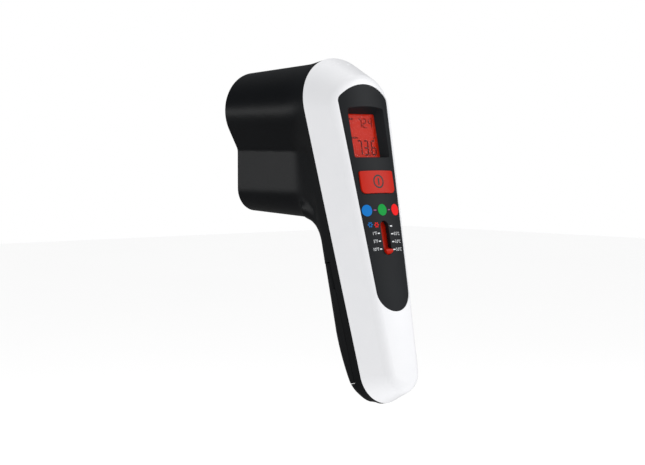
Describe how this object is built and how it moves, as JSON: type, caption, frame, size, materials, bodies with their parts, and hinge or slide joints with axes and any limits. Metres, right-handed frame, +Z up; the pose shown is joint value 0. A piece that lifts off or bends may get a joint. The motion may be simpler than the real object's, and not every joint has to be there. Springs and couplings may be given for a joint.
{
  "type": "thermal leak detector",
  "caption": "Pistol-shaped hand-held thermal leak detector with a sensor nose, display, power button, sensitivity slide and battery grip.",
  "frame": {"origin": "middle of the flat front face of the nose, between the lamp and the infrared sensor", "axes": "+Y out of the nose towards the wall being measured, +Z up, +X to the right of a user who looks along +Y at the display"},
  "size_m": [0.0564, 0.1304, 0.1884],
  "materials": {
    "white_shell": "moulded ABS with a soft satin gloss",
    "black_shell": "moulded black ABS, satin gloss",
    "door_shell": "moulded black ABS, finely textured",
    "graphite_panel": "fine spark texture",
    "red_button": "translucent-looking red moulding",
    "clear_window": "clear acrylic",
    "lcd": "red backlit display glass",
    "black_inner": "black ABS inner moulding",
    "light_guide": "translucent acrylic",
    "led_yellow": "LED package",
    "rubber_strip": "elastomer",
    "circuit_green": "solder mask over glass fibre",
    "chip_black": "moulded epoxy",
    "steel": "zinc plated",
    "aluminium": "sheet",
    "mirror_coat": "vacuum metallised",
    "lens_clear": "polished acrylic",
    "lens_white": "thin polyethylene",
    "nylon_white": "nylon",
    "battery_wrap": "printed steel jacket",
    "foam": "closed-cell foam",
    "wire_red": "PVC insulation",
    "wire_black": "PVC insulation",
    "wire_grey": "PVC sheath"
  },
  "bodies": {
    "casing": {"backlight_guide": "light_guide", "backlight_leds": "led_yellow", "battery": "battery_wrap", "battery_cradle": "black_inner", "battery_lead_black": "wire_black", "battery_lead_red": "wire_red", "battery_posts": "steel", "battery_snap": "black_inner", "battery_socket": "nylon_white", "board_screws": "steel", "cable_sockets": "nylon_white", "capacitors": "aluminium", "carrier_screws": "steel", "chip_resistors": "chip_black", "colour_led": "led_yellow", "crystal": "steel", "display_window": "clear_window", "face_cover": "white_shell", "face_panel": "graphite_panel", "front_bezel": "black_inner", "heat_spreader": "aluminium", "housing_screws": "steel", "infrared_sensor": "steel", "lamp_barrel": "black_inner", "lamp_board": "circuit_green", "lamp_cable": "wire_grey", "lamp_lens": "lens_clear", "lamp_reflector": "mirror_coat", "lcd_connector": "rubber_strip", "lcd_frame": "black_inner", "lcd_glass": "lcd", "main_board": "circuit_green", "nose_housing": "black_shell", "optics_carrier": "black_inner", "processor": "chip_black", "sensor_board": "circuit_green", "sensor_cable": "wire_grey", "sensor_lens": "lens_white", "sensor_pins": "steel", "sensor_tube": "black_inner", "slide_switch": "steel", "small_chips": "chip_black", "tact_switch": "steel"},
    "door": {"battery_door": "door_shell", "door_foam": "foam"},
    "button": {"power_button": "red_button", "button_plunger": "nylon_white"},
    "slide": {"slide_knob": "red_button", "switch_lever": "nylon_white"}
  },
  "joints": [
    {"name": "door_tilt", "type": "hinge", "parent": "casing", "child": "door", "pos_m": [0, -0.0962, -0.13299], "axis": [-1, 0, 0], "range_deg": [0, 70]},
    {"name": "button_press", "type": "slide", "parent": "casing", "child": "button", "axis": [0, 0.9744, -0.225], "range_m": [0, 0.0008], "stiffness_N_per_m": 1500},
    {"name": "sensitivity_slide", "type": "slide", "parent": "casing", "child": "slide", "axis": [0, 0.225, 0.9744], "range_m": [0, 0.0127]}
  ]
}
